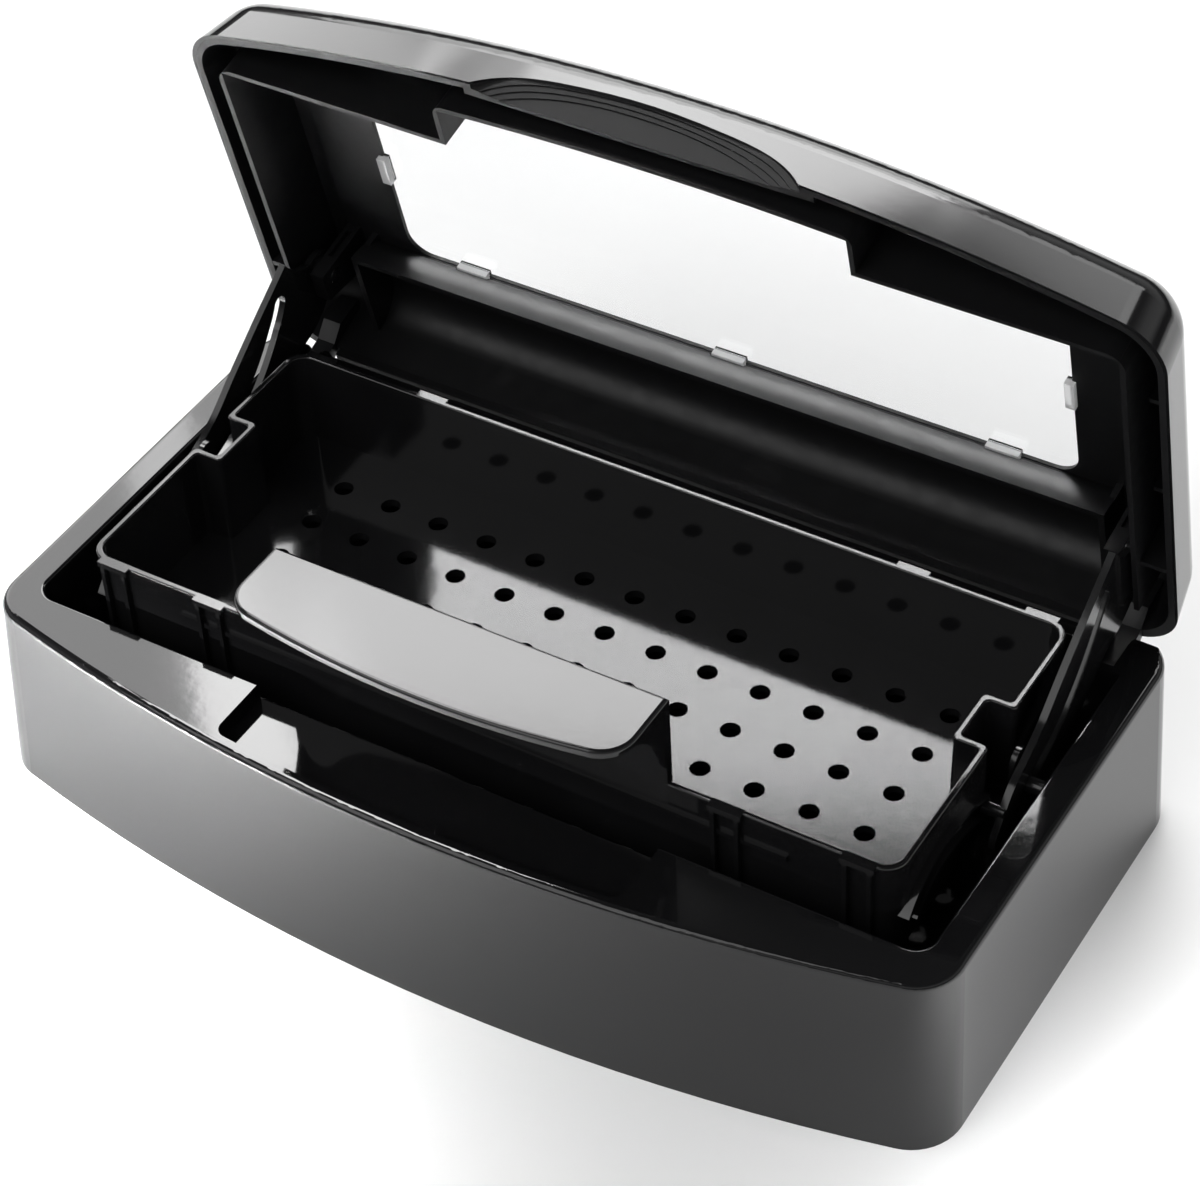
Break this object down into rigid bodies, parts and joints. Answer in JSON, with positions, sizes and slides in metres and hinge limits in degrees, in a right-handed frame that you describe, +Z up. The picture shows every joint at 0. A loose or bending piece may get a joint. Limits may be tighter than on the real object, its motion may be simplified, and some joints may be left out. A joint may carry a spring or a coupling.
{
  "type": "nail tool sterilizer",
  "caption": "Soak tray for manicure tools: open tub with a bowed front, perforated basket with a flat handle, and a windowed lid whose arms raise the basket.",
  "frame": {"origin": "centre of the outline of the tub's underside, on the surface it stands on", "axes": "+X along the hinge line towards the right end, +Y towards the hinge at the back, +Z up; the bowed front faces -Y; stored with the lid open and the basket raised"},
  "size_m": [0.239, 0.1489, 0.1562],
  "materials": {
    "tub_plastic": "high gloss black moulded plastic",
    "lid_plastic": "high gloss black moulded plastic",
    "basket_plastic": "gloss black moulded plastic, satin floor",
    "arm_plastic": "gloss black moulded plastic",
    "pin_plastic": "satin black plastic",
    "pin_steel": "ground steel pin",
    "foot_rubber": "matte black rubber",
    "window_clear": "clear acrylic"
  },
  "bodies": {
    "tub": {"base_tub": "tub_plastic", "foot_front_left": "foot_rubber", "foot_front_right": "foot_rubber", "foot_rear_left": "foot_rubber", "foot_rear_right": "foot_rubber", "left_hinge_pin": "pin_steel", "right_hinge_pin": "pin_steel", "left_guide_pin": "pin_plastic", "right_guide_pin": "pin_plastic"},
    "lid": {"lid_shell": "lid_plastic", "window_pane": "window_clear", "left_arm_pivot_pin": "pin_plastic", "right_arm_pivot_pin": "pin_plastic", "left_pivot_bush": "pin_plastic", "right_pivot_bush": "pin_plastic"},
    "left_arm": {"left_lift_arm": "arm_plastic", "left_lift_pin": "pin_plastic"},
    "right_arm": {"right_lift_arm": "arm_plastic", "right_lift_pin": "pin_plastic"},
    "basket": {"basket": "basket_plastic"}
  },
  "joints": [
    {"name": "lid_hinge", "type": "hinge", "parent": "tub", "child": "lid", "pos_m": [0, 0.0588, 0.0375], "axis": [-1, 0, 0], "range_deg": [-77, 0]},
    {"name": "left_arm_pivot", "type": "hinge", "parent": "lid", "child": "left_arm", "pos_m": [-0.1046, 0.0659, 0.0655], "axis": [-1, 0, 0], "range_deg": [0, 63.01]},
    {"name": "right_arm_pivot", "type": "hinge", "parent": "lid", "child": "right_arm", "pos_m": [0.1046, 0.0659, 0.0655], "axis": [-1, 0, 0], "range_deg": [0, 63.01]},
    {"name": "basket_lift", "type": "slide", "parent": "tub", "child": "basket", "axis": [0, 0.2723, -0.9622], "range_m": [0, 0.02755]}
  ],
  "couplings": [
    {"joint": "left_arm_pivot", "follows": "lid_hinge", "ratio": -0.81818},
    {"joint": "right_arm_pivot", "follows": "lid_hinge", "ratio": -0.81818},
    {"joint": "basket_lift", "follows": "lid_hinge", "m_per_rad": -0.020493}
  ]
}
